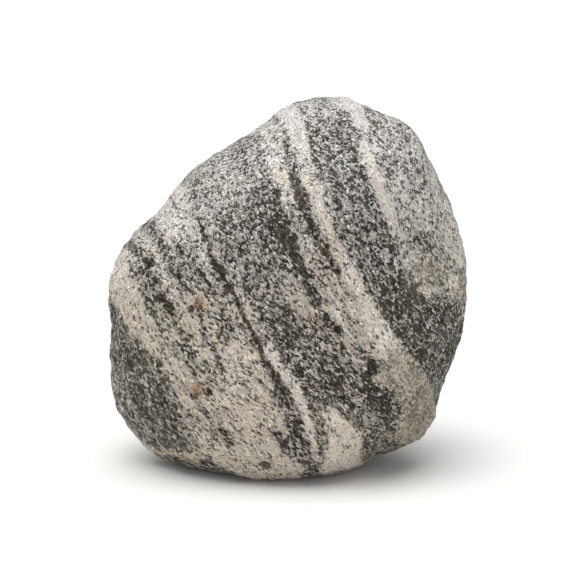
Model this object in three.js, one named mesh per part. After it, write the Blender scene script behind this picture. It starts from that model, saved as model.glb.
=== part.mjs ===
// A water-worn cobble of banded gneiss, the kind sold as an aquascape stone.
// It formed and wore down as one piece, so it is one solid: blue-grey rock crossed by pale quartz veins.
// Millimetres, +Z up. The broad face looks along -Y.
// The origin is under the middle of the stone, in its resting plane.
import * as THREE from "three";
import { ImprovedNoise } from "three/addons/math/ImprovedNoise.js";
import { mergeVertices } from "three/addons/utils/BufferGeometryUtils.js";

// Driving dimensions.
const WIDTH = 153;
const HEIGHT = 159;
const FRONT_DEPTH = 57;
const BACK_DEPTH = 60;
const CORE_HEIGHT = 76;

// The front outline at mid-depth as [x, z]. It runs below z = 0, where the worn resting face cuts it off.
const OUTLINE = [
  [7, 159],
  [24, 161.5],
  [43, 159],
  [55.5, 145.5],
  [62.2, 128],
  [69.8, 109],
  [75.3, 88],
  [76.3, 68],
  [75.3, 54],
  [72.5, 43],
  [69, 34],
  [67.5, 25],
  [67, 15],
  [61, 8],
  [40, 3.5],
  [22, -5],
  [-8, -13],
  [-38, -7],
  [-58.5, 1],
  [-73, 12],
  [-76.2, 30],
  [-77, 52],
  [-77, 82],
  [-71, 94],
  [-56.5, 107],
  [-42.5, 125.5],
  [-25, 137.3],
  [-9, 147.3],
];
const OUTLINE_SAMPLES = 720;

// How squarely the broad sides swell out to the outline, and how sharply neighbouring worn faces meet.
const SWELL = 2.3;
const EDGE_SHARPNESS = 13;

// The resting face meets the sides in a rounded edge.
const BASE_ROUNDING = 6;

// Worn faces as [turn from the front towards +X in degrees, rise in degrees, distance from the core].
const WORN_FACES = {
  broadFront: [-10, 4, 53],
  shoulderFront: [-22, 38, 65],
  cheekRight: [36, 8, 64],
  heelRight: [44, -30, 77],
  toeLeft: [-46, -20, 74],
  brow: [24, 56, 82],
  broadBack: [171, 3, 56],
  shoulderBack: [158, 42, 72],
  flankBackLeft: [-128, 12, 66],
  flankBackRight: [126, -6, 71],
  heelBack: [-168, -38, 70],
  slopeBackLeft: [-120, 48, 72],
};

// Chips broken off, then worn, as [turn, rise, depth below the block].
const CHIPS = {
  shoulderChip: [-140, 30, 4],
  flankChip: [124, -22, 4],
  crownChip: [150, 40, 2.5],
  footChip: [-134, -34, 3],
};
const CHIP_ROUNDING = 4;

// Hollows and swellings as [turn, rise, radius, height]. A negative height is a hollow.
const SWELLINGS = {
  heelLump: [55, -30, 17, 3.6],
  heelLumpTop: [46, -15, 12, 1.6],
  heelCreaseLeft: [33, -24, 9, -1.8],
  heelHollow: [40, -38, 9, -2.4],
  heelCreaseRight: [70, -16, 11, -2.6],
  cheekHollow: [58, 10, 22, -1.8],
  footFront: [12, -50, 30, 3.6],
  footLeft: [-62, -40, 24, 2],
  browScar: [-20, 60, 18, -1.6],
  smallPit: [-14, -57, 5, -1.8],
  sideLump: [98, 4, 26, 2.4],
  backScar: [-150, 22, 30, -3.6],
  backLump: [176, -24, 24, 3.0],
  backHollow: [140, 30, 22, -2.6],
  endHollow: [-98, -12, 20, -1.8],
};

// The foliation: veins and seams follow bent sheets.
// The sheets stand nearly upright at the crown and lean over lower down.
const SHEET_CROWN = 136;
const SHEET_LEAN = 0.25;
const SHEET_BEND = 0.00186;
const SHEET_DIP = THREE.MathUtils.degToRad(13);
const BACK_FOLD = 0.45;
const BACK_FOLD_START = 0;
const BACK_FOLD_WIDTH = 14;

// Relief of the bands as [place across the sheets, half width, height, lowest z, highest z].
// Quartz veins stand proud, mica-rich seams are worn back, and a long seam has opened into a groove.
const BAND_RELIEF = {
  mainVein: [5, 4.5, 1.3, 30, 150],
  mainVeinSeam: [-1.8, 3.5, -1.5, 75, 134],
  secondVein: [-7.5, 4.5, 1, 70, 136],
  shortVein: [32, 4.5, 1.2, 100, 170],
  greyBandRight: [19, 7, -0.7, 50, 170],
  longGroove: [-47.5, 4.5, -1.7, 25, 104],
  thinVein: [-43, 4, 1.1, 0, 58],
  leftStreak: [-76.5, 4.5, -1.4, 58, 98],
  paleBelt: [-62, 8, 0.8, 0, 120],
  leftBelt: [-104, 8, -0.7, 0, 80],
};
const BAND_END_FADE = 9;

// At the back the relief is this much wider and softer, reached this far behind the middle.
const BACK_WIDENING = 0.9;
const BACK_REACH = 30;

// Ledges along the sheets as
// [place across the sheets, half width of the step, height, reach, lowest z, highest z].
// A harder layer stands above the one to its left. The difference dies out over the reach.
const LEDGES = {
  longLedge: [-47, 3, 1.1, 20, 20, 112],
  shoulderLedge: [-83, 3.5, 1, 14, 40, 110],
  rightLedge: [27, 3.5, 0.8, 14, 60, 140],
};

// Wear of the whole surface as [wavelength, height] for each step of the noise.
const SURFACE_WAVES = [
  [62, 2.3],
  [27, 1.1],
  [12, 0.55],
];
const WAVE_STRETCH = 0.6;
const WAVE_SHIFT = 17.3;

// The sheets waver by this much over this distance.
const WAVER_HEIGHT = 1.6;
const WAVER_LENGTH = 30;

// 20 x (FINENESS + 1)^2 triangles.
const FINENESS = 21;

const noise = new ImprovedNoise();

// The unit vector that turns from the front towards +X, then rises.
function heading(turnDegrees, riseDegrees) {
  const turn = THREE.MathUtils.degToRad(turnDegrees);
  const rise = THREE.MathUtils.degToRad(riseDegrees);
  return new THREE.Vector3(
    Math.sin(turn) * Math.cos(rise),
    -Math.cos(turn) * Math.cos(rise),
    Math.sin(rise),
  );
}

// The outline's distance from the core for any angle round it, read from a smooth closed curve.
function outlineReach() {
  const points = OUTLINE.map(([x, z]) => new THREE.Vector3(x, 0, z - CORE_HEIGHT));
  const curve = new THREE.CatmullRomCurve3(points, true, "centripetal");
  const samples = curve
    .getPoints(OUTLINE_SAMPLES)
    .slice(0, OUTLINE_SAMPLES)
    .map((p) => ({ angle: Math.atan2(p.z, p.x), reach: Math.hypot(p.x, p.z) }))
    .sort((a, b) => a.angle - b.angle);
  const first = samples[0];
  const last = samples[samples.length - 1];
  samples.push({ angle: first.angle + 2 * Math.PI, reach: first.reach });
  samples.unshift({ angle: last.angle - 2 * Math.PI, reach: last.reach });
  return (angle) => {
    const after = samples.findIndex((s) => s.angle > angle);
    const a = samples[after - 1];
    const b = samples[after];
    return THREE.MathUtils.mapLinear(angle, a.angle, b.angle, a.reach, b.reach);
  };
}

const reachAt = outlineReach();
const wornFaces = Object.values(WORN_FACES).map(([turn, rise, distance]) => ({
  normal: heading(turn, rise),
  distance,
}));

// How far the worn block reaches from the core along a unit direction.
function blockReach(direction) {
  const across = Math.hypot(direction.x, direction.z);
  const depth = direction.y < 0 ? FRONT_DEPTH : BACK_DEPTH;
  const outline = across / reachAt(Math.atan2(direction.z, direction.x));
  const body = Math.pow(outline, SWELL) + Math.pow(Math.abs(direction.y) / depth, SWELL);
  let sum = Math.pow(body, EDGE_SHARPNESS / SWELL);
  for (const { normal, distance } of wornFaces) {
    sum += Math.pow(Math.max(0, normal.dot(direction)) / distance, EDGE_SHARPNESS);
  }
  return Math.pow(sum, -1 / EDGE_SHARPNESS);
}

// The shorter of two lengths, with the corner where they cross rounded off over the given width.
function roundedMin(a, b, width) {
  const near = Math.max(0, 1 - Math.abs(a - b) / width);
  return Math.min(a, b) - (width * near * near) / 4;
}

const chips = Object.values(CHIPS).map(([turn, rise, depth]) => {
  const towards = heading(turn, rise);
  return { towards, distance: blockReach(towards) - depth };
});

// The same reach with the chips taken off.
function chippedReach(direction) {
  return chips.reduce((reach, { towards, distance }) => {
    const facing = towards.dot(direction);
    return facing > 0 ? roundedMin(reach, distance / facing, CHIP_ROUNDING) : reach;
  }, blockReach(direction));
}

// Where a point lies across the foliation's sheets, in millimetres.
function acrossSheets(p) {
  const height = p.z * Math.cos(SHEET_DIP) + p.y * Math.sin(SHEET_DIP);
  const below = SHEET_CROWN - height;
  const behind = (p.y - BACK_FOLD_START) / BACK_FOLD_WIDTH;
  const fold = BACK_FOLD * BACK_FOLD_WIDTH * Math.log1p(Math.exp(behind));
  const waver = WAVER_HEIGHT * noise.noise(p.x / WAVER_LENGTH, p.y / WAVER_LENGTH, p.z / WAVER_LENGTH);
  return p.x - SHEET_LEAN * below - SHEET_BEND * below * below + fold + waver;
}

// 1 between two heights, fading to 0 past them.
function between(z, low, high) {
  const above = THREE.MathUtils.smoothstep(z, low - BAND_END_FADE, low + BAND_END_FADE);
  const beyond = THREE.MathUtils.smoothstep(z, high - BAND_END_FADE, high + BAND_END_FADE);
  return above * (1 - beyond);
}

function bandRelief(p) {
  const across = acrossSheets(p);
  const widening = 1 + BACK_WIDENING * THREE.MathUtils.smoothstep(p.y, 0, BACK_REACH);
  let relief = 0;
  for (const [place, halfWidth, height, low, high] of Object.values(BAND_RELIEF)) {
    const off = (across - place) / (halfWidth * widening);
    relief += height * Math.exp(-off * off) * between(p.z, low, high);
  }
  for (const [place, halfWidth, height, reach, low, high] of Object.values(LEDGES)) {
    const off = across - place;
    const fade = Math.exp(-((off / reach) ** 2));
    relief += height * Math.tanh(off / (halfWidth * widening)) * fade * between(p.z, low, high);
  }
  return relief;
}

function surfaceWaves(p) {
  return SURFACE_WAVES.reduce((sum, [wavelength, height], step) => {
    const shift = WAVE_SHIFT * step;
    const along = WAVE_STRETCH / wavelength;
    return sum + height * noise.noise(p.x / wavelength + shift, p.y / wavelength, p.z * along);
  }, 0);
}

const swellings = Object.values(SWELLINGS).map(([turn, rise, radius, height]) => {
  const towards = heading(turn, rise);
  return { centre: towards.clone().multiplyScalar(blockReach(towards)), radius, height };
});

function swelling(fromCore) {
  return swellings.reduce((sum, { centre, radius, height }) => {
    const off = centre.distanceTo(fromCore) / radius;
    return sum + height * Math.exp(-off * off);
  }, 0);
}

// One point of the finished surface: the worn block with its relief, worn flat where it rests.
function surfacePoint(direction) {
  const core = new THREE.Vector3(0, 0, CORE_HEIGHT);
  let reach = chippedReach(direction);
  const fromCore = direction.clone().multiplyScalar(reach);
  const p = fromCore.clone().add(core);
  reach += bandRelief(p) + surfaceWaves(p) + swelling(fromCore);
  if (direction.z < 0) {
    reach = roundedMin(reach, CORE_HEIGHT / -direction.z, BASE_ROUNDING);
  }
  return direction.clone().multiplyScalar(reach).add(core);
}

function stoneGeometry() {
  const ball = new THREE.IcosahedronGeometry(1, FINENESS);
  ball.deleteAttribute("normal");
  ball.deleteAttribute("uv");
  const geometry = mergeVertices(ball, 1e-5);
  const position = geometry.getAttribute("position");
  const direction = new THREE.Vector3();
  for (let i = 0; i < position.count; i++) {
    direction.fromBufferAttribute(position, i).normalize();
    const p = surfacePoint(direction);
    position.setXYZ(i, p.x, p.y, p.z);
  }
  return geometry;
}

// Brings the worn block to its stated width and height, with the origin under its middle.
function fitToSize(geometry) {
  geometry.computeBoundingBox();
  const size = geometry.boundingBox.getSize(new THREE.Vector3());
  geometry.scale(WIDTH / size.x, 1, HEIGHT / size.z);
  geometry.computeBoundingBox();
  const middle = geometry.boundingBox.getCenter(new THREE.Vector3());
  geometry.translate(-middle.x, -middle.y, -geometry.boundingBox.min.z);
  geometry.computeVertexNormals();
  return geometry;
}

const gneiss = new THREE.MeshStandardMaterial({ color: 0x86837d, roughness: 0.88, metalness: 0 });
const stone = new THREE.Mesh(fitToSize(stoneGeometry()), gneiss);
stone.name = "stone";

const part = new THREE.Group();
part.add(stone);
export default part;
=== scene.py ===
from math import cos, radians, sin

import bmesh
import bpy
import numpy as np
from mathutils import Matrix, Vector, noise


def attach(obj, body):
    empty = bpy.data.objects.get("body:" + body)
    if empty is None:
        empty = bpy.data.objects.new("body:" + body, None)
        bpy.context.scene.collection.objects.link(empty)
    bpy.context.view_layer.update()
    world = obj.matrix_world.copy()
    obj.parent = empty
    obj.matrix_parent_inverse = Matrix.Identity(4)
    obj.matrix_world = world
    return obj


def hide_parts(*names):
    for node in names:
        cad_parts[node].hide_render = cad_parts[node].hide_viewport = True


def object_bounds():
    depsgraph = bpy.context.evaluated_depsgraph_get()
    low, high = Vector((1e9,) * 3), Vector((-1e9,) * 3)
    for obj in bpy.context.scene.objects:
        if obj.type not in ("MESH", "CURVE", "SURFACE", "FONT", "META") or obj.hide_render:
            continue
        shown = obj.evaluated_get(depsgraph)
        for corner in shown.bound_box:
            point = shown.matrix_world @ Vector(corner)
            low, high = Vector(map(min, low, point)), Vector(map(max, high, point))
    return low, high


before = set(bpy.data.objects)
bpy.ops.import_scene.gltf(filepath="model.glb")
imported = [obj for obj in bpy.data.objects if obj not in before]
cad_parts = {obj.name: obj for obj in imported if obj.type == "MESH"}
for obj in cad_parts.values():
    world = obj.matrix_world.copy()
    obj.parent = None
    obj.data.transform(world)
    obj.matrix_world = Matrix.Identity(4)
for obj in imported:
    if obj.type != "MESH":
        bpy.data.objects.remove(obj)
cad_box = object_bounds()

# The body of the cobble.
# The real piece is one lump of banded gneiss, rolled in a river until every corner was round.
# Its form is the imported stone's, laid out again in small even faces, with the facets worn off.
MM = 0.001
WELD_REACH = 0.001 * MM
FACE_SIZE = 1 * MM
WEAR_PASSES = 18
WEAR_STRENGTH = 0.5

body_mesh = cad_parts["stone"].data.copy()
welded = bmesh.new()
welded.from_mesh(body_mesh)
bmesh.ops.remove_doubles(welded, verts=welded.verts, dist=WELD_REACH)
welded.to_mesh(body_mesh)
welded.free()
cobble = bpy.data.objects.new("cobble", body_mesh)
bpy.context.scene.collection.objects.link(cobble)

even_faces = cobble.modifiers.new("even_faces", "REMESH")
even_faces.mode = "VOXEL"
even_faces.voxel_size = FACE_SIZE
river_wear = cobble.modifiers.new("river_wear", "SMOOTH")
river_wear.factor = WEAR_STRENGTH
river_wear.iterations = WEAR_PASSES

worn = cobble.evaluated_get(bpy.context.evaluated_depsgraph_get())
cobble_mesh = bpy.data.meshes.new_from_object(worn)
cobble_mesh.name = "cobble"
cobble.modifiers.clear()
cobble.data = cobble_mesh

count = len(cobble_mesh.vertices)
flat = np.empty(count * 3)
cobble_mesh.vertices.foreach_get("co", flat)
place = flat.reshape(-1, 3) / MM
cobble_mesh.vertices.foreach_get("normal", flat)
outward = flat.reshape(-1, 3).copy()


# The bands of the gneiss.
# The rock grew its minerals in sheets under great pressure. The sheets stand upright at the crown and lean
# over lower down, so each vein or seam is a place across the sheets, and runs right through to the back.
SHEET_CROWN = 136
SHEET_LEAN = 0.25
SHEET_BEND = 0.00186
SHEET_DIP = radians(13)
BACK_FOLD = 0.45
BACK_FOLD_WIDTH = 14
# The bands' edges waver, most of all at the foot, their ends are ragged, and behind they show in patches.
# Each wave of that is (height, wavelength, seed), in millimetres.
EDGE_WAVES = [(0.5, 17, 3.1), (0.8, 6, 8.7), (0.6, 2.6, 5.3)]
FOOT_WAVES = [(1.1, 11, 19.2)]
END_WAVES = [(4.5, 10, 36.9), (2.5, 4, 47.5)]
PATCH_WAVES = [(0.5, 34, 12.9)]
# Where the foot gives way to the middle, by rise, and the front to the back, by depth.
FOOT_TO_MIDDLE = (45, 95)
FRONT_TO_BACK = (-12, 26)


def ripple(points, wavelength, seed):
    """Smooth noise from -1 to 1 at each point, with bumps about as far apart as the wavelength."""
    spots = (points / wavelength + seed).tolist()
    return np.array([noise.noise(spot) for spot in spots])


def ripples(points, waves):
    """The sum of several ripples, each given as (height, wavelength, seed)."""
    return sum(height * ripple(points, wavelength, seed) for height, wavelength, seed in waves)


def soft_step(value, low, high):
    """0 below low and 1 above high, with a smooth passage between them."""
    share = np.clip((value - low) / (high - low), 0, 1)
    return share * share * (3 - 2 * share)


rise = place[:, 2] * cos(SHEET_DIP) + place[:, 1] * sin(SHEET_DIP)
below = SHEET_CROWN - rise
fold = BACK_FOLD * BACK_FOLD_WIDTH * np.log1p(np.exp(place[:, 1] / BACK_FOLD_WIDTH))
true_across = place[:, 0] - SHEET_LEAN * below - SHEET_BEND * below**2 + fold
across = true_across + ripples(place, EDGE_WAVES)
across += ripples(place, FOOT_WAVES) * (1 - soft_step(rise, *FOOT_TO_MIDDLE))
ragged_rise = rise + ripples(place, END_WAVES)
behind = soft_step(place[:, 1], *FRONT_TO_BACK)
patchy = 0.5 + ripples(place, PATCH_WAVES)
sheet_place = np.column_stack([true_across, place[:, 1], rise])

# Each band is its share of dark minerals, how far it shows at the front and at the back, the width of its
# edges, and its route down the stone as (rise, place across the sheets, half width), in millimetres.
# Later bands lie over earlier ones. A share below 0 leaves not one dark grain.
BODY_GREY = 0.43
BANDS = {
    "grey_crown": (0.3, 0.9, 0.5, 5, [(150, -28, 16), (124, -29, 19), (106, -36, 12)]),
    "broad_dark": (
        0.46, 1, 0.9, 3,
        [(113, -18, 5), (106, -22, 11), (97, -27.5, 17), (60, -28, 17.5), (25, -29, 13),
         (6, -18, 10)],
    ),
    "broad_dark_right": (
        0.57, 1, 0.4, 5,
        [(110, -16, 3), (102, -18, 6), (96, -18, 6), (87, -15, 3.5), (72, -14, 2.5)],
    ),
    "broad_dark_core": (0.57, 1, 0.6, 4, [(66, -31, 6), (45, -31, 8.5), (26, -32, 6)]),
    "brown_mottle": (0.34, 0.9, 0, 4, [(80, -20, 2), (70, -20, 4.5), (60, -20, 2)]),
    "dark_foot": (0.44, 1, 0.4, 3, [(22, -17, 8), (12, -18, 11), (0, -20, 12)]),
    "right_dark": (0.47, 1, 0.9, 2.5, [(156, 19, 9.5), (110, 18, 9.5), (90, 20, 10), (74, 24, 13)]),
    "right_dark_crown": (0.24, 1, 0.7, 6, [(158, 20.5, 10), (146, 20, 10)]),
    # The lower right is a real dark band, painted darker still as a painted shadow over it.
    "right_dark_low_and_shade": (0.7, 1, 0.7, 3, [(76, 28, 17), (60, 30, 19), (18, 33, 20)]),
    "right_margin": (0.55, 1, 0.5, 2, [(132, 26.5, 1.6), (112, 27, 2.2), (90, 27, 2.6)]),
    "right_grey": (0.27, 1, 0.8, 3, [(156, 48, 13), (110, 48, 14), (84, 48, 15), (72, 54, 9)]),
    "right_grey_low": (0.38, 1, 0.6, 5, [(94, 44, 8), (86, 47, 12), (72, 52, 10)]),
    "right_grey_crown": (0.35, 1, 0.8, 4, [(158, 46, 16), (138, 44, 14)]),
    "edge_pale": (0.17, 1, 0, 4, [(110, 61, 2.5), (98, 59.5, 4.5), (84, 57, 4)]),
    "right_flecks": (0.24, 1, 0, 3, [(100, 37, 2.5), (92, 36, 4), (78, 35, 5.5), (72, 38, 4)]),
    "right_arc": (0.68, 1, 0, 1.5, [(77.5, 36, 5.5), (76.5, 36.5, 6)]),
    "right_knot": (0.1, 1, 0, 1.5, [(74, 36, 3.6), (72, 36, 3.6)]),
    "right_knot_far": (0.08, 1, 0, 1.5, [(79, 51, 2.4), (74.5, 48.5, 2.6)]),
    "pale_speckled": (
        0.27, 1, 0.9, 3,
        [(114, -58, 9), (98, -66, 17), (76, -73, 25), (20, -77, 27), (-8, -79, 29)],
    ),
    "pale_clean_top": (0.13, 1, 0.4, 5, [(124, -55, 7), (108, -56, 8.5), (98, -58, 7)]),
    "speckled_top": (0.47, 0.9, 0.3, 3, [(92, -62, 7), (84, -62, 9.5), (74, -60, 7)]),
    "green_grey": (0.29, 1, 0.3, 5, [(66, -80, 7), (52, -81, 11), (38, -82, 9)]),
    "pale_foot": (
        0.19, 1, 0.5, 3,
        [(66, -56, 5), (48, -57, 7.5), (34, -62, 9), (14, -72, 12), (-4, -74, 11)],
    ),
    "left_pale": (
        0.15, 1, 0.8, 3,
        [(100, -88, 5), (84, -91, 6.5), (64, -92, 6.5), (48, -90, 5), (34, -87, 4)],
    ),
    "left_crest": (0.06, 1, 0, 4, [(97, -86, 6), (84, -89, 6), (74, -91, 4.5)]),
    "streak_top": (0.62, 1, 0, 1.5, [(104, -66.5, 1.3), (98, -68, 1.6), (92, -67, 1.5)]),
    "streak_bank": (0.2, 1, 0, 2, [(88, -70.5, 1.8), (80, -71.5, 2), (70, -71, 2.4), (62, -70.5, 2.4)]),
    "left_streak": (
        0.55, 1, 0.8, 2,
        [(96, -80, 1.5), (91, -79, 3.2), (87, -75.5, 3), (82, -78.3, 2.4), (78, -77.5, 2.6),
         (74, -79.5, 2.4), (71, -77, 3), (66, -76, 2.2), (62, -76, 1.2)],
    ),
    "left_streak_low": (
        0.52, 1, 0, 2.5,
        [(60, -77.5, 1.5), (55, -75.5, 2.2), (48, -78.8, 2), (42, -77.3, 1.4)],
    ),
    "left_streak_foot": (
        0.58, 1, 0.4, 2,
        [(54, -67, 1), (50, -67.5, 1.8), (46, -66.5, 1), (42, -68, 1.2), (39, -71, 1.8),
         (37, -74, 1.8), (35, -77.5, 1.5)],
    ),
    "stain_knot": (0.6, 1, 0, 1.2, [(32.5, -79.5, 1.3), (29, -82, 1.3)]),
    "left_dark": (
        0.63, 1, 0.9, 7,
        [(74, -107, 5), (56, -106, 9), (42, -102, 10), (28, -106, 8), (3, -111, 9)],
    ),
    "left_chain": (0.55, 1, 0.3, 1.5, [(20, -82.5, 1.1), (15, -84, 1), (9, -85, 1.3), (4, -86.5, 1)]),
    "foot_rim": (0.12, 0.9, 0.5, 4, [(4, -100, 28), (-2, -96, 40), (-10, -90, 50)]),
    # The dark rim low at the left of the foot is painted shade where the stone meets the floor.
    "foot_rim_left_painted_shade": (0.5, 1, 0, 3, [(0, -112, 14), (-8, -108, 22)]),
    "crack_margin": (0.24, 0.9, 0.4, 2, [(108, -44, 2), (80, -44.4, 2.2), (58, -43.4, 2.4)]),
    "crack_bank": (0.2, 0.9, 0.3, 2, [(104, -50.6, 1.8), (84, -52.4, 2), (66, -51, 1.6)]),
    "bank_mottle": (0.44, 1, 0, 4, [(66, -54.5, 1.5), (60, -56, 3.5), (53, -57, 4)]),
    "seam_bank": (
        0.68, 1, 0.7, 1.5,
        [(40, -48.6, 1.5), (35, -48.8, 2), (30, -49.6, 2.4), (26, -50.6, 3.2),
         (20, -52.6, 2.4), (15, -54.3, 2.4), (10, -56.6, 3.2), (6, -57.7, 3.2)],
    ),
    "seam_knot": (0.62, 1, 0, 1.5, [(11, -62.5, 1.6), (7, -64, 1.8)]),
    "seam_foot": (0.5, 1, 0.7, 2, [(4, -58.5, 3), (-2, -59.5, 3.5), (-8, -64, 6)]),
    "thin_vein": (
        0.14, 1, 0.6, 1.2,
        [(50, -43, 2.2), (40, -43.2, 2.8), (30, -43.4, 2.7), (25, -43.8, 2), (20, -45.4, 2.2),
         (15, -48.2, 2), (8, -51.4, 1.8), (4, -53, 1.6)],
    ),
    "thin_vein_margin": (
        0.64, 1, 0, 2,
        [(54, -36, 1.4), (46, -36.6, 1.8), (38, -38, 1.6), (30, -39.6, 1.4), (26, -40.8, 1)],
    ),
    "foot_patch": (
        -0.04, 1, 0.4, 1.5,
        [(20, -34.5, 4), (16, -33.5, 6), (12, -35, 7.5), (8, -38, 7), (4, -41.5, 7.5),
         (-2, -46, 9)],
    ),
    "foot_streak": (0.62, 1, 0, 1.2, [(13, -46.5, 1.6), (10, -48, 1.3), (4, -50.8, 1.1)]),
    "foot_notch": (0.5, 1, 0, 1.5, [(19, -39.4, 1), (13, -38.3, 1.2)]),
    "second_margin": (
        0.94, 1, 0.8, 2.5,
        [(111, -12.8, 2.6), (105, -12.4, 1.8), (101, -15, 4.5), (97, -15.5, 5),
         (92, -13.6, 3.2), (85, -13, 2.4), (76, -12.6, 1.8), (71, -13, 3), (66, -13, 1.6),
         (58, -12, 1.6)],
    ),
    "second_vein_crown": (0.17, 1, 0.8, 2.5, [(150, -5.5, 5.5), (136, -6.5, 4.7), (122, -7.2, 4.4)]),
    "second_vein": (0.14, 1, 0.8, 1.6, [(123, -7, 2.8), (108, -7.6, 3)]),
    "second_vein_middle": (0.29, 1, 0.8, 2, [(108, -7.6, 3), (92, -8, 2.8), (76, -7, 2.6)]),
    "second_vein_foot": (0.28, 1, 0.6, 3, [(76, -6, 4.5), (66, -5, 7), (46, -3, 9)]),
    "margin_wedge": (0.78, 1, 0, 1.5, [(114, -10, 1.2), (112, -12.5, 3), (110, -15.5, 4.5)]),
    "crown_line": (0.45, 1, 0, 2, [(137, -11.8, 1), (128, -12.2, 1.3), (120, -13.4, 1.3)]),
    "seam_crown": (0.34, 1, 0.4, 2, [(143, -0.8, 1.6), (138, -0.6, 1.4), (131, 0, 1.3)]),
    "main_seam": (
        0.62, 1, 0.8, 1.5,
        [(132, -0.7, 1.2), (127, -0.9, 2.1), (121, -1.6, 1.8), (115, -1.5, 1.5),
         (110, -1.2, 2.5), (105, -2.2, 1.9), (99, -2, 1.5), (94, -1.7, 1.5), (91, -0.3, 1.3),
         (86, -0.3, 1.1), (81, 0.2, 0.7), (75, 0.6, 0.4)],
    ),
    "main_vein": (
        0.09, 1, 1, 1.4,
        [(140, 5.2, 3.4), (122, 4.2, 2.9), (108, 4, 2.6), (98, 4.2, 2.8), (84, 5.2, 3),
         (68, 5.8, 3.6), (47, 6.2, 6.6)],
    ),
    "main_vein_crown": (-0.05, 1, 1, 1.6, [(160, 6, 4.8), (146, 5.6, 4.2), (132, 5, 3)]),
    "heel_blob": (
        0.32, 1, 0.5, 2.5,
        [(46, 7.2, 6.7), (42, 6.8, 8.2), (38, 5.6, 9.6), (36, 3.6, 11.2), (34, 4.4, 10.2),
         (32, 6, 9), (28, 5.8, 8.6), (24, 6, 8.4), (20, 4, 8.4), (16, 0.5, 9.5), (12, -2, 9.5),
         (8, -5, 9)],
    ),
    # The crease beside the heel is a dark band and also painted shade in the hollow there.
    "heel_crease_and_shade": (
        0.8, 1, 0.2, 2,
        [(47, -6, 1.4), (44, -4.2, 1.2), (41, -5.2, 1.8), (39, -8, 2.2), (36, -11.6, 1.5),
         (34, -11.6, 2), (32, -10.6, 4), (28, -11, 4.6), (24, -11, 4.4), (20, -12.2, 3.3),
         (16, -13.2, 2), (13, -13.5, 1.5)],
    ),
    "heel_lobe": (0.3, 1, 0, 1.5, [(46, -9.6, 2.4), (43, -10.2, 3)]),
    "short_vein_crown": (-0.2, 1, 0.9, 1.6, [(162, 33, 4.8), (150, 33.2, 4.3), (142, 33, 2.9)]),
    "short_vein": (
        -0.14, 1, 0.9, 1.2,
        [(134, 32.2, 1.9), (129, 31.8, 2), (125, 31, 2.5), (116, 31.6, 2.7), (106, 32.6, 2.6),
         (101, 33, 1.9)],
    ),
    "edge_vein": (0.1, 0.3, 1, 1.5, [(150, 68, 3), (90, 66, 4), (20, 70, 4)]),
    "edge_dark": (0.66, 0.2, 1, 2, [(150, 76, 4), (20, 78, 5)]),
}
# Long thin cracks along the sheets, where mica has weathered out, as (depth, route).
SEAMS = {
    "long_crack_top": (0.25, [(119, -44.2, 0.6), (104, -45.8, 0.7)]),
    "long_crack": (
        1.1,
        [(102, -47.6, 0.5), (92, -48.2, 0.5), (86, -48.2, 0.6), (81, -48, 1.5),
         (75, -47.4, 1.5), (68, -47, 1.1), (62, -46.8, 1.1), (54, -46.4, 1.5), (50, -47, 1.4),
         (46, -48, 0.9), (42, -48, 1)],
    ),
    "long_crack_twin": (0.4, [(90, -51, 0.5), (70, -50.4, 0.7), (56, -50.2, 0.5)]),
    "vein_crack": (
        0.35,
        [(122, -1.7, 0.6), (110, -1.6, 0.7), (105, -2.3, 0.8), (96, -1.9, 0.6),
         (86, -0.4, 0.6)],
    ),
    "crown_crack": (0.35, [(118, -53.5, 0.5), (96, -54.5, 0.7)]),
    "left_crack": (0.4, [(96, -84.2, 0.6), (66, -82, 0.6)]),
}
END_FADE = 4
# A share of dark minerals below this is vein quartz.
VEIN_SHARE = 0.15
BACK_STRENGTH = 1.3
SHARE_WAVES = [(0.07, 21, 31.7), (0.05, 8, 40.2)]
# Waves that lie along the sheets, as (height, wavelength, seed, how many times longer along than across).
LAMINAE = [(1, 2.4, 71.3, 9), (0.6, 1.3, 88.1, 5)]
MOTTLE = [(0.09, 11, 23.4, 1.6), (0.09, 4.5, 52.6, 1.4)]
# Thin streaks show left of the long crack and near the main seam, by place across the sheets.
PAST_LONG_CRACK = (-56, -40)
MAIN_SEAM = -4
NEAR_MAIN_SEAM = (14, 4)
STREAK_CONTRAST = 0.2
LEAST_STREAKS = 0.15
VEIN_EVENNESS = 0.8
HEEL_EDGE = 1.5
KNOB_WAVES = [(0.6, 6.5, 55.1), (0.5, 3.4, 58.4)]
# The heel's knobs are painted paler on top and darker in the lows between them: mottle and painted shade.
KNOB_MOTTLE_AND_SHADE = 0.42
HEEL_DARKENING = 0.03
# A crack is more open in some places than in others. Its dark colour is some dirt, even in a shallow one, and
# painted shade that deepens with its depth.
CRACK_OPENNESS = 0.65
CRACK_WAVES = [(0.35, 9, 2.2)]
CRACK_DIRT = 0.3


def along_route(route):
    """A route at each point: its place, its half width, and 1 between its ends, fading to 0 past them."""
    stops = np.array(sorted(route))
    middle = np.interp(rise, stops[:, 0], stops[:, 1])
    half = np.interp(rise, stops[:, 0], stops[:, 2])
    low, high = stops[0, 0], stops[-1, 0]
    fade = min(END_FADE, 1 + (high - low) / 2)
    shown = soft_step(ragged_rise, low - fade, low) * (1 - soft_step(ragged_rise, high, high + fade))
    return middle, half, shown


def on_band(name, soft):
    """How far each point of the front lies on a band, from 0 to 1. Its edge is twice soft wide."""
    middle, half, shown = along_route(BANDS[name][4])
    return (1 - soft_step(np.abs(across - middle), half - soft, half + soft)) * shown * (1 - behind)


def sheet_ripples(waves):
    """Ripples drawn out along the sheets, each given as (height, wavelength, seed, stretch)."""
    total = np.zeros(count)
    for height, wavelength, seed, stretch in waves:
        total += height * ripple(sheet_place / (1, stretch, stretch), wavelength, seed)
    return total


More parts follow.
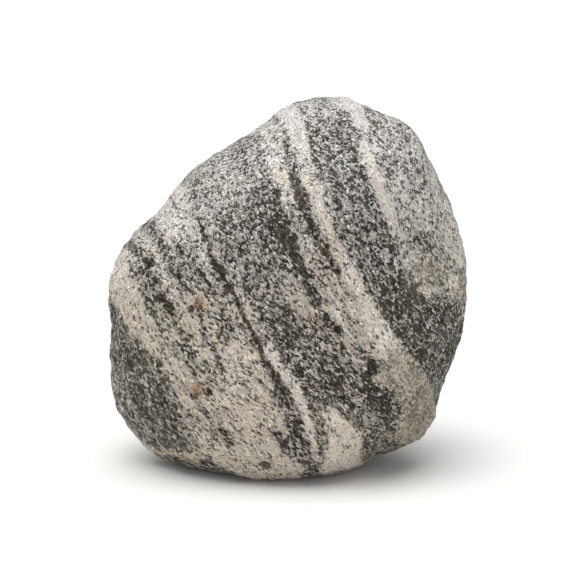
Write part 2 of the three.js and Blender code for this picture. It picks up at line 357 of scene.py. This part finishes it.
dark_share = BODY_GREY + ripples(place, SHARE_WAVES)
vein_share = np.zeros(count)
for dark, front, back, edge, route in BANDS.values():
    middle, half, shown = along_route(route)
    inside = 1 - soft_step(np.abs(across - middle), half - edge / 2, half + edge / 2)
    strength = front * shown * (1 - behind) + BACK_STRENGTH * back * patchy * behind
    cover = inside * np.clip(strength, 0, 1)
    dark_share += (dark - dark_share) * cover
    vein_share += ((dark < VEIN_SHARE) - vein_share) * cover
laminae = sheet_ripples(LAMINAE)
right_of_crack = soft_step(true_across, *PAST_LONG_CRACK)
near_seam = soft_step(np.abs(true_across - MAIN_SEAM), *NEAR_MAIN_SEAM)
streaky = 1 - right_of_crack * (1 - near_seam)
streaks = LEAST_STREAKS + (1 - LEAST_STREAKS) * streaky
dark_share += STREAK_CONTRAST * laminae * streaks * (1 - VEIN_EVENNESS * vein_share)
dark_share += sheet_ripples(MOTTLE) * (1 - vein_share)
heel = on_band("heel_blob", HEEL_EDGE)
knobs = ripples(place, KNOB_WAVES)
# The knobs of the heel are painted paler on their tops and darker in the lows between them: a mottle, plus
# painted light and shade that follow the knobs' relief.
dark_share += (HEEL_DARKENING - KNOB_MOTTLE_AND_SHADE * knobs) * heel

crack_dirt_and_shade = np.zeros(count)
crack_depth = np.zeros(count)
crack_openness = CRACK_OPENNESS + ripples(place, CRACK_WAVES)
for depth, route in SEAMS.values():
    middle, half, shown = along_route(route)
    inside = np.exp(-(((across - middle) / half) ** 2))
    strength = np.clip(shown * (1 - behind) + patchy * behind, 0, 1) * crack_openness
    crack_dirt_and_shade = np.maximum(crack_dirt_and_shade, min(1, CRACK_DIRT + depth) * inside * strength)
    crack_depth = np.maximum(crack_depth, depth * inside * strength)

# The crown is painted paler towards the top, a painted highlight of the light from above, and the body takes
# on a warm tint, most of it towards the foot.
# The quartz of the veins takes less of it than the body does. Each tint is a sum of steps, as
# (strength, rise up to which it is full, rise at which it is gone).
BODY_TINT = [(0.31, 50, 125), (0.05, 0, 60)]
QUARTZ_TINT = [(0.26, 115, 145), (0.17, 30, 60)]
LEAST_TINT = 0.06
# Dark rock takes less of the tint, ever less from the first share of dark minerals to the second.
DARK_TINT_LOSS = 0.4
DARK_SHARES = (0.3, 0.6)
TINT_WAVES = [(0.06, 26, 44.1), (0.1, 9, 27.3)]
TINT_EDGE = 3
# Painted highlight: the crown is painted paler, standing in for the light from above that falls on the top.
CROWN_PAINTED_HIGHLIGHT = 0.22
MIDDLE_TO_CROWN = (95, 130)
PALE_BLEACH = 0.75
PALE_SHARES = (0.14, 0.42)
# The quartz patch at the foot is painted brighter than its own colour, painted light on the downward-facing
# foot.
FOOT_PATCH_BLEACH_AND_LIGHT = 0.5
FOOT_PATCH_EDGE = 1
# Some bands have taken up more or less of the tint than the rest, and chlorite has turned some a little
# green, as (share of the tint, share of the green).
TINTS = {
    "pale_clean_top": (0.55, 0),
    "right_dark": (0.6, 0.15),
    "right_dark_low_and_shade": (1, 0.4),
    "right_grey_low": (1, 0.5),
    "dark_foot": (1.1, 0.6),
    "heel_crease_and_shade": (0.2, 0.7),
    "second_margin": (1.1, 0.4),
    "second_vein": (1.3, 0),
    "second_vein_middle": (1.5, 0),
    "main_seam": (1.8, 0),
    "thin_vein": (0.62, 0),
    "foot_patch": (0.8, 0),
    "bank_mottle": (0.9, 0.3),
    "speckled_top": (1.1, 0.5),
    "left_streak": (1.3, 0.5),
    "green_grey": (1, 0.8),
    "left_dark": (1.3, 0.7),
}


def tint(steps):
    """The tint at each point, as the sum of its steps."""
    return sum(strength * (1 - soft_step(rise, full, gone)) for strength, full, gone in steps)


warmth = LEAST_TINT + tint(BODY_TINT)
warmth *= 1 - DARK_TINT_LOSS * soft_step(dark_share, *DARK_SHARES)
warmth += (tint(QUARTZ_TINT) - warmth) * vein_share
green_share = np.zeros(count)
for name, (taken_up, green) in TINTS.items():
    cover = on_band(name, TINT_EDGE)
    warmth *= 1 + (taken_up - 1) * cover
    green_share += (green - green_share) * cover
warmth += ripples(place, TINT_WAVES)
bleached_and_lit = np.maximum(vein_share, PALE_BLEACH * (1 - soft_step(dark_share, *PALE_SHARES)))
# Painted highlight: the crown is painted paler where the light from above falls on it.
bleached_and_lit = np.clip(bleached_and_lit + CROWN_PAINTED_HIGHLIGHT * soft_step(rise, *MIDDLE_TO_CROWN), 0, 1)
# The patch of quartz at the foot is the whitest, and it is painted brighter still: painted light on a foot
# that faces down.
bleached_and_lit += FOOT_PATCH_BLEACH_AND_LIGHT * on_band("foot_patch", FOOT_PATCH_EDGE)

# Iron has stained a few spots on the front, as (x, z, radius, strength), and faint patches behind.
STAINS = [
    (-36.4, 80, 2.6, 0.8),
    (-37.5, 44, 3, 0.9),
    (16, 106, 3, 0.35),
    (11.2, 74, 4, 0.3),
    (23.6, 29, 3, 0.2),
]
BACK_STAIN = 0.45
BACK_STAIN_WAVES = [(1, 19, 61.5)]
BACK_STAIN_RIM = (0.42, 0.75)


def spot(x, z, radius, firmness=2):
    """A round spot on the front: 1 in its middle and 0 outside. A firmer one has a sharper rim."""
    off = np.hypot(place[:, 0] - x, place[:, 2] - z) / radius
    return np.exp(-(off**firmness)) * (place[:, 1] < 0)


stain_share = BACK_STAIN * soft_step(ripples(place, BACK_STAIN_WAVES), *BACK_STAIN_RIM) * behind
for x, z, radius, strength in STAINS:
    stain_share = np.maximum(stain_share, strength * spot(x, z, radius))

# A thin film of tan clay has dried on the heel, on a patch at the right, and here and there behind.
HEEL_CLAY = 0.38
RIGHT_CLAY = 0.42
RIGHT_CLAY_SPOT = (59, 91, 8)
BACK_CLAY = 0.35
BACK_CLAY_WAVES = [(1, 23, 77.7)]
BACK_CLAY_RIM = (0.25, 0.7)
CLAY_COVER = 0.85
CLAY_WAVES = [(0.6, 6, 6.6)]
clay_share = np.maximum(HEEL_CLAY * heel, RIGHT_CLAY * spot(*RIGHT_CLAY_SPOT))
back_clay = BACK_CLAY * soft_step(ripples(place, BACK_CLAY_WAVES), *BACK_CLAY_RIM) * behind
clay_share = np.maximum(clay_share, back_clay) * (CLAY_COVER + ripples(place, CLAY_WAVES))


# The weathered skin.
# Hard quartz stands a little proud of the soft mica, and loose grains have fallen out and left pits.
# The skin is raised and sunk by real depths in millimetres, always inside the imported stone's box.
VEIN_HEIGHT = 0.35
LAMINA_HEIGHT = 0.2
HEEL_KNOB_HEIGHT = 1.1
PIT_SPACING = 9
PIT_SEED = 4.4
PIT_RADIUS = 1.7
PIT_DEPTH = 0.55
# Pits are painted darker: dirt and painted shade in them.
PIT_DIRT_AND_SHADE = 0.6
SKIN_INSET = 0.25
# Lumps, knobs and grains, as (height, wavelength, seed).
ROUGH_WAVES = [(0.9, 12, 21.3), (0.6, 5.5, 9.9), (0.32, 2.6, 15.8)]
# The middle of the broad face is the smoothest. The ends, the back and the crown are rougher.
LEAST_ROUGH = 0.45
MIDDLE_TO_ENDS = (34, 62)
FACE_TO_BACK = (-30, 0)
HOLE_FIRMNESS = 4
# Larger holes on the front, where clots of mica fell out, as (x, z, radius, depth).
HOLES = [
    (-9.7, 9.6, 2.5, 1.9),
    (-57.6, 95.1, 2, 0.9),
    (-54.8, 88.9, 1.8, 0.8),
    (-52.2, 81.4, 2, 0.9),
    (-48.7, 77.4, 1.8, 0.7),
    (-27.7, 94.3, 1.8, 0.9),
    (-25.1, 87.4, 1.6, 0.8),
    (-32.2, 43, 1.5, 0.8),
    (-39.9, 78.2, 1.4, 0.6),
    (20.7, 71.3, 1.8, 0.7),
    (34.7, 55.4, 2, 0.8),
]

pit_spots = (place / PIT_SPACING + PIT_SEED).tolist()
pit_reach = np.array([noise.voronoi(spot)[0][0] for spot in pit_spots]) * PIT_SPACING
pits = 1 - soft_step(pit_reach, 0, PIT_RADIUS)
holes = np.zeros(count)
hole_depth = np.zeros(count)
for x, z, radius, depth in HOLES:
    hole = spot(x, z, radius, HOLE_FIRMNESS)
    holes = np.maximum(holes, hole)
    hole_depth = np.maximum(hole_depth, depth * hole)
at_ends = soft_step(np.abs(place[:, 0]), *MIDDLE_TO_ENDS)
at_back = soft_step(place[:, 1], *FACE_TO_BACK)
rough = LEAST_ROUGH + (1 - LEAST_ROUGH) * np.maximum(at_ends, at_back)
skin = VEIN_HEIGHT * vein_share + LAMINA_HEIGHT * laminae * streaky + HEEL_KNOB_HEIGHT * knobs * heel
skin += rough * ripples(place, ROUGH_WAVES)
skin -= SKIN_INSET + crack_depth + PIT_DEPTH * pits + hole_depth
place = place + outward * skin[:, None]
low_corner = np.array(cad_box[0]) / MM
high_corner = np.array(cad_box[1]) / MM
place = np.clip(place, low_corner, high_corner)
cobble_mesh.vertices.foreach_set("co", (place * MM).ravel())
for face in cobble_mesh.polygons:
    face.use_smooth = True
cobble_mesh.update()

measures = {
    "dark_share": dark_share,
    "bleached_and_lit": bleached_and_lit,
    "warmth": np.clip(warmth, 0, 1),
    "green_share": green_share,
    # Cracks, pits and holes are painted darker: dirt, and painted shade in these hollows.
    "crack_dirt_and_shade": np.clip(crack_dirt_and_shade + PIT_DIRT_AND_SHADE * pits + holes, 0, 1),
    "stain_share": stain_share,
    "clay_share": np.clip(clay_share, 0, 1),
}
for name, values in measures.items():
    layer = cobble_mesh.attributes.new(name, "FLOAT", "POINT")
    layer.data.foreach_set("value", values.astype(np.float32))
layer = cobble_mesh.attributes.new("sheet_place", "FLOAT_VECTOR", "POINT")
layer.data.foreach_set("vector", sheet_place.astype(np.float32).ravel())

# The skin is also laid out flat, for maps of it. Each face goes to the side of a box round the stone that
# it looks at from the middle, and the six sides lie in two rows of three.
# Each side fills this much of its place, so that no two sides touch.
CHART_SHARE = 0.96

box_middle = (low_corner + high_corner) / 2
box_half = (high_corner - low_corner) / 2
face_count = len(cobble_mesh.polygons)
face_middle = np.empty(face_count * 3)
cobble_mesh.polygons.foreach_get("center", face_middle)
from_middle = (face_middle.reshape(-1, 3) / MM - box_middle) / box_half
face_axis = np.argmax(np.abs(from_middle), axis=1)
face_front = from_middle[np.arange(face_count), face_axis] > 0
face_corners = np.empty(face_count, np.int32)
cobble_mesh.polygons.foreach_get("loop_total", face_corners)
axis = np.repeat(face_axis, face_corners)
front = np.repeat(face_front, face_corners)
corners = np.arange(len(axis))
corner_vertex = np.empty(len(axis), np.int32)
cobble_mesh.loops.foreach_get("vertex_index", corner_vertex)
corner_place = (place[corner_vertex] - box_middle) / box_half
corner_reach = np.abs(corner_place[corners, axis])
mirrored = np.where(front, 1, -1)
across_side = mirrored * np.arctan(corner_place[corners, (axis + 1) % 3] / corner_reach) / radians(90)
up_side = np.arctan(corner_place[corners, (axis + 2) % 3] / corner_reach) / radians(90)
flat_place = np.column_stack(
    [(axis + 0.5 + CHART_SHARE * across_side) / 3, (front + 0.5 + CHART_SHARE * up_side) / 2]
)
layer = cobble_mesh.uv_layers.new(name="OFBake")
layer.data.foreach_set("uv", flat_place.astype(np.float32).ravel())


# The gneiss itself.
# It is an interlocking mass of feldspar, quartz and dark mica in grains of 1 to 2 mm, worn matt by sand.
# To the eye it is salt and pepper, with mica flakes that lie along the sheets.
GRAIN = 1.15
FLECK = 0.58
GRAIN_WIDENING = 1.15
GRAIN_STRETCH = 1.3
JOSTLE = (1.1, 1.1, 1.1)
# A grain draws its mineral as a whole, and each fleck in it has its say.
GRAIN_SAY = 0.55
FLECK_SAY = 0.45
CLOT_CONTRAST = 0.36
CRACK_DARKNESS = 0.8
# The draws gather round the middle, so the share of dark minerals is set against them on this scale.
DRAW_START = 0.19
DRAW_SPREAD = 0.62
GRAIN_EDGE = 0.045
# How much the tone varies from grain to grain, from fleck to fleck, and with the dust.
GRAIN_TONES = 0.4
FLECK_TONES = 0.35
DUST_TONES = 0.35
MICA_FADING = 0.4
PALE_GRAIN_HEIGHT = 0.7
DUST_HEIGHT = 0.8
GRAIN_RELIEF = 0.6 * MM
FACET_TILT = (0.8, 0.8, 0.8)

gneiss = bpy.data.materials.new("river_worn_gneiss")
gneiss.use_nodes = True
tree = gneiss.node_tree
tree.nodes.clear()


def linear(hex_colour):
    """An sRGB hex colour as linear red, green, blue and alpha."""
    channels = [int(hex_colour[i : i + 2], 16) / 255 for i in (1, 3, 5)]
    return [c / 12.92 if c <= 0.04045 else ((c + 0.055) / 1.055) ** 2.4 for c in channels] + [1]


def add(kind, inputs=None, stops=None, **settings):
    """Adds a node with its settings and colour stops, and gives its inputs their values or links."""
    made = tree.nodes.new(kind)
    for name, value in settings.items():
        setattr(made, name, value)
    for position, colour in stops or []:
        made.color_ramp.elements.new(position).color = linear(colour)
    if stops:
        made.color_ramp.elements.remove(made.color_ramp.elements[0])
        made.color_ramp.elements.remove(made.color_ramp.elements[-1])
    for name, value in (inputs or {}).items():
        value = value.outputs[0] if isinstance(value, bpy.types.Node) else value
        if isinstance(value, bpy.types.NodeSocket):
            tree.links.new(value, made.inputs[name])
        else:
            made.inputs[name].default_value = value
    return made


in_sheets = add("ShaderNodeAttribute", attribute_name="sheet_place").outputs["Vector"]
lying = add("ShaderNodeMapping", {"Vector": in_sheets, "Scale": (1, 1 / GRAIN_WIDENING, 1 / GRAIN_STRETCH)})
jostle = add("ShaderNodeTexNoise", {"Vector": in_sheets, "Scale": 0.8, "Detail": 3.0, "Roughness": 0.65})
jostled = add(
    "ShaderNodeVectorMath",
    {0: jostle.outputs["Color"], 1: JOSTLE, 2: lying},
    operation="MULTIPLY_ADD",
)
grains = add("ShaderNodeTexVoronoi", {"Vector": jostled, "Scale": 1 / GRAIN})
flecks = add("ShaderNodeTexVoronoi", {"Vector": jostled, "Scale": 1 / FLECK})
joints = add("ShaderNodeTexVoronoi", {"Vector": jostled, "Scale": 1 / GRAIN}, feature="DISTANCE_TO_EDGE")
grain_draw = add("ShaderNodeSeparateColor", {"Color": grains.outputs["Color"]})
fleck_draw = add("ShaderNodeSeparateColor", {"Color": flecks.outputs["Color"]})
clots = add("ShaderNodeTexNoise", {"Vector": lying, "Scale": 0.22, "Detail": 3.0, "Roughness": 0.6})
dust = add("ShaderNodeTexNoise", {"Vector": lying, "Scale": 2.4, "Detail": 2.0, "Roughness": 0.7})

dark_here = add("ShaderNodeAttribute", attribute_name="dark_share").outputs["Fac"]
crack_dirt_and_shade_here = add("ShaderNodeAttribute", attribute_name="crack_dirt_and_shade").outputs["Fac"]
bleached_and_lit_here = add("ShaderNodeAttribute", attribute_name="bleached_and_lit").outputs["Fac"]
warmth_here = add("ShaderNodeAttribute", attribute_name="warmth").outputs["Fac"]
green_here = add("ShaderNodeAttribute", attribute_name="green_share").outputs["Fac"]
stain_here = add("ShaderNodeAttribute", attribute_name="stain_share").outputs["Fac"]

# Each grain draws its mineral: dark mica where the draw is under the share of dark minerals, and feldspar
# or quartz above it.
fleck_say = add("ShaderNodeMath", {0: fleck_draw.outputs[0], 1: FLECK_SAY}, operation="MULTIPLY")
draw = add("ShaderNodeMath", {0: grain_draw.outputs[0], 1: GRAIN_SAY, 2: fleck_say}, operation="MULTIPLY_ADD")
clotted = add(
    "ShaderNodeMath",
    {0: clots.outputs["Fac"], 1: CLOT_CONTRAST, 2: -CLOT_CONTRAST / 2},
    operation="MULTIPLY_ADD",
)
even_share = add("ShaderNodeMath", {0: dark_here, 1: clotted}, operation="ADD")
# The hollows draw more dark grains: dirt and painted shade.
share = add("ShaderNodeMath", {0: crack_dirt_and_shade_here, 1: CRACK_DARKNESS, 2: even_share}, operation="MULTIPLY_ADD")
threshold = add("ShaderNodeMath", {0: share, 1: DRAW_SPREAD, 2: DRAW_START}, operation="MULTIPLY_ADD")
over = add("ShaderNodeMath", {0: draw, 1: threshold}, operation="SUBTRACT")
pale_grain = add(
    "ShaderNodeMapRange",
    {"Value": over, "From Min": -GRAIN_EDGE, "From Max": GRAIN_EDGE},
    interpolation_type="SMOOTHSTEP",
)

# No two grains are quite the same tone, and a fine dust varies each one.
tone = add("ShaderNodeMath", {0: grain_draw.outputs[1], 1: GRAIN_TONES}, operation="MULTIPLY")
tone = add("ShaderNodeMath", {0: fleck_draw.outputs[1], 1: FLECK_TONES, 2: tone}, operation="MULTIPLY_ADD")
tone = add("ShaderNodeMath", {0: dust.outputs["Fac"], 1: DUST_TONES, 2: tone}, operation="MULTIPLY_ADD")
bright_tone = add("ShaderNodeMapRange", {"Value": tone, "To Min": 0.57, "To Max": 0.99})
# Bleached grains, and grains under the painted highlight of the crown, take the brighter tone.
pale_tone = add(
    "ShaderNodeMix",
    {"Factor": bleached_and_lit_here, "A": tone, "B": bright_tone},
    data_type="FLOAT",
    clamp_factor=False,
)
feldspar = add(
    "ShaderNodeValToRGB",
    {"Fac": pale_tone},
    stops=[(0.12, "#757472"), (0.35, "#9a9896"), (0.55, "#bebcb8"), (0.75, "#e0ddd8"), (0.95, "#f8f5f0")],
)
mica = add(
    "ShaderNodeValToRGB",
    {"Fac": tone},
    stops=[(0.25, "#0e0c09"), (0.45, "#201b16"), (0.6, "#3d362c"), (0.72, "#5f584a"), (0.85, "#80796b")],
)
faded = add("ShaderNodeMath", {0: bleached_and_lit_here, 1: MICA_FADING}, operation="MULTIPLY")
dull_mica = add("ShaderNodeMix", {"Factor": faded, 6: mica, 7: linear("#8a8885")}, data_type="RGBA")
fresh = add("ShaderNodeMix", {"Factor": pale_grain, 6: dull_mica.outputs[2], 7: feldspar}, data_type="RGBA")
# Fine dark joints run between the grains.
joint_shade = add("ShaderNodeMapRange", {"Value": joints, "From Max": 0.11, "To Min": 0.72, "To Max": 1.0})
jointed = add("ShaderNodeVectorMath", {0: fresh.outputs[2], "Scale": joint_shade}, operation="SCALE")
# Some grains take the warm tint more than others.
grain_warmth = add("ShaderNodeMapRange", {"Value": grain_draw.outputs[2], "To Min": 0.5, "To Max": 1.5})
grain_warmth = add(
    "ShaderNodeMath",
    {0: grain_warmth, 1: warmth_here},
    operation="MULTIPLY",
    use_clamp=True,
)
warmed = add(
    "ShaderNodeMix",
    {"Factor": grain_warmth, 6: jointed, 7: linear("#ffe3c1")},
    data_type="RGBA",
    blend_type="MULTIPLY",
)
greened = add(
    "ShaderNodeMix",
    {"Factor": green_here, 6: warmed.outputs[2], 7: linear("#fafffa")},
    data_type="RGBA",
    blend_type="MULTIPLY",
)
stained = add(
    "ShaderNodeMix",
    {"Factor": stain_here, 6: greened.outputs[2], 7: linear("#c8a06a")},
    data_type="RGBA",
    blend_type="MULTIPLY",
)

# The clay lies thickest in the low places between the grains.
crown_of_grain = add(
    "ShaderNodeMapRange",
    {"Value": joints, "From Max": 0.3},
    interpolation_type="SMOOTHSTEP",
)
clay_here = add("ShaderNodeAttribute", attribute_name="clay_share").outputs["Fac"]
clay_depth = add("ShaderNodeMapRange", {"Value": crown_of_grain, "To Min": 1.2, "To Max": 0.85})
clay_cover = add("ShaderNodeMath", {0: clay_depth, 1: clay_here}, operation="MULTIPLY", use_clamp=True)
clayed = add(
    "ShaderNodeMix",
    {"Factor": clay_cover, 6: stained.outputs[2], 7: linear("#b8ac99")},
    data_type="RGBA",
)

# Pale grains stand higher than dark ones, and no grain is quite smooth or faces quite straight out.
grain_height = add(
    "ShaderNodeMath",
    {0: pale_grain, 1: PALE_GRAIN_HEIGHT, 2: crown_of_grain},
    operation="MULTIPLY_ADD",
)
grain_height = add(
    "ShaderNodeMath",
    {0: dust.outputs["Fac"], 1: DUST_HEIGHT, 2: grain_height},
    operation="MULTIPLY_ADD",
)
grain_bump = add("ShaderNodeBump", {"Strength": 1.0, "Distance": GRAIN_RELIEF, "Height": grain_height})
facet = add("ShaderNodeVectorMath", {0: flecks.outputs["Color"], 1: (0.5, 0.5, 0.5)}, operation="SUBTRACT")
facet = add(
    "ShaderNodeVectorMath",
    {0: facet, 1: FACET_TILT, 2: grain_bump},
    operation="MULTIPLY_ADD",
)
facet = add("ShaderNodeVectorMath", {0: facet}, operation="NORMALIZE")
shine = add("ShaderNodeMapRange", {"Value": pale_grain, "To Min": 0.55, "To Max": 0.85})
surface = add(
    "ShaderNodeBsdfPrincipled",
    {
        "Base Color": clayed.outputs[2],
        "Roughness": shine,
        "IOR": 1.54,
        "Specular IOR Level": 0.25,
        "Normal": facet,
    },
)
add("ShaderNodeOutputMaterial", {"Surface": surface})

cobble_mesh.materials.clear()
cobble_mesh.materials.append(gneiss)
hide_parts("stone")
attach(cobble, "root")


# The studio.
# A pale sweep of paper under soft white light, with one large soft box above and a little in front.
FLOOR_SIDE = 12.0
FLOOR_GAP = 0.05 * MM
CAMERA_RISE = radians(13)
CAMERA_DISTANCE = 1.3
CAMERA_LENS = 190
AIM = Vector((0, 0, 0.076))

bpy.ops.mesh.primitive_plane_add(size=FLOOR_SIDE, location=(0, 0, -FLOOR_GAP))
floor = bpy.context.object
floor.name = "paper_sweep"
paper = bpy.data.materials.new("white_paper")
paper.use_nodes = True
paper_shader = paper.node_tree.nodes["Principled BSDF"]
paper_shader.inputs["Base Color"].default_value = linear("#dededc")
paper_shader.inputs["Roughness"].default_value = 0.9
floor.data.materials.append(paper)

camera_data = bpy.data.cameras.new("camera")
camera_data.lens = CAMERA_LENS
camera = bpy.data.objects.new("camera", camera_data)
bpy.context.scene.collection.objects.link(camera)
camera.location = AIM + CAMERA_DISTANCE * Vector((0, -cos(CAMERA_RISE), sin(CAMERA_RISE)))
camera.rotation_euler = (AIM - camera.location).to_track_quat("-Z", "Y").to_euler()
bpy.context.scene.camera = camera

KEY_FROM = Vector((-0.12, -0.1, 0.99))
KEY_STRENGTH = 3.9
KEY_SOFTNESS = radians(65)
FILL_FROM = Vector((-0.05, -0.99, 0.1))
FILL_STRENGTH = 0.62
FILL_SOFTNESS = radians(70)
SKY_STRENGTH = 0.36
HORIZON_STRENGTH = 1.0
HORIZON_GLOW = radians(7)
HORIZON_FADE = radians(20)

soft_boxes = {
    "key": (KEY_FROM, KEY_STRENGTH, KEY_SOFTNESS),
    "fill": (FILL_FROM, FILL_STRENGTH, FILL_SOFTNESS),
}
for name, (source, strength, softness) in soft_boxes.items():
    box_data = bpy.data.lights.new(name, "SUN")
    box_data.energy = strength
    box_data.angle = softness
    soft_box = bpy.data.objects.new(name, box_data)
    bpy.context.scene.collection.objects.link(soft_box)
    soft_box.rotation_euler = (-source).to_track_quat("-Z", "Y").to_euler()

world = bpy.data.worlds.new("studio")
world.use_nodes = True
tree = world.node_tree
look = add("ShaderNodeTexCoord").outputs["Generated"]
height = add("ShaderNodeSeparateXYZ", {"Vector": look}).outputs["Z"]
height = add("ShaderNodeMath", {0: height}, operation="ABSOLUTE")
glow = add(
    "ShaderNodeMapRange",
    {
        "Value": height,
        "From Min": sin(HORIZON_GLOW),
        "From Max": sin(HORIZON_FADE),
        "To Min": HORIZON_STRENGTH,
        "To Max": SKY_STRENGTH,
    },
    interpolation_type="SMOOTHSTEP",
)
tree.links.new(glow.outputs[0], tree.nodes["Background"].inputs["Strength"])
tree.nodes["Background"].inputs["Color"].default_value = linear("#ffffff")
bpy.context.scene.world = world
bpy.context.scene.view_settings.view_transform = "Standard"
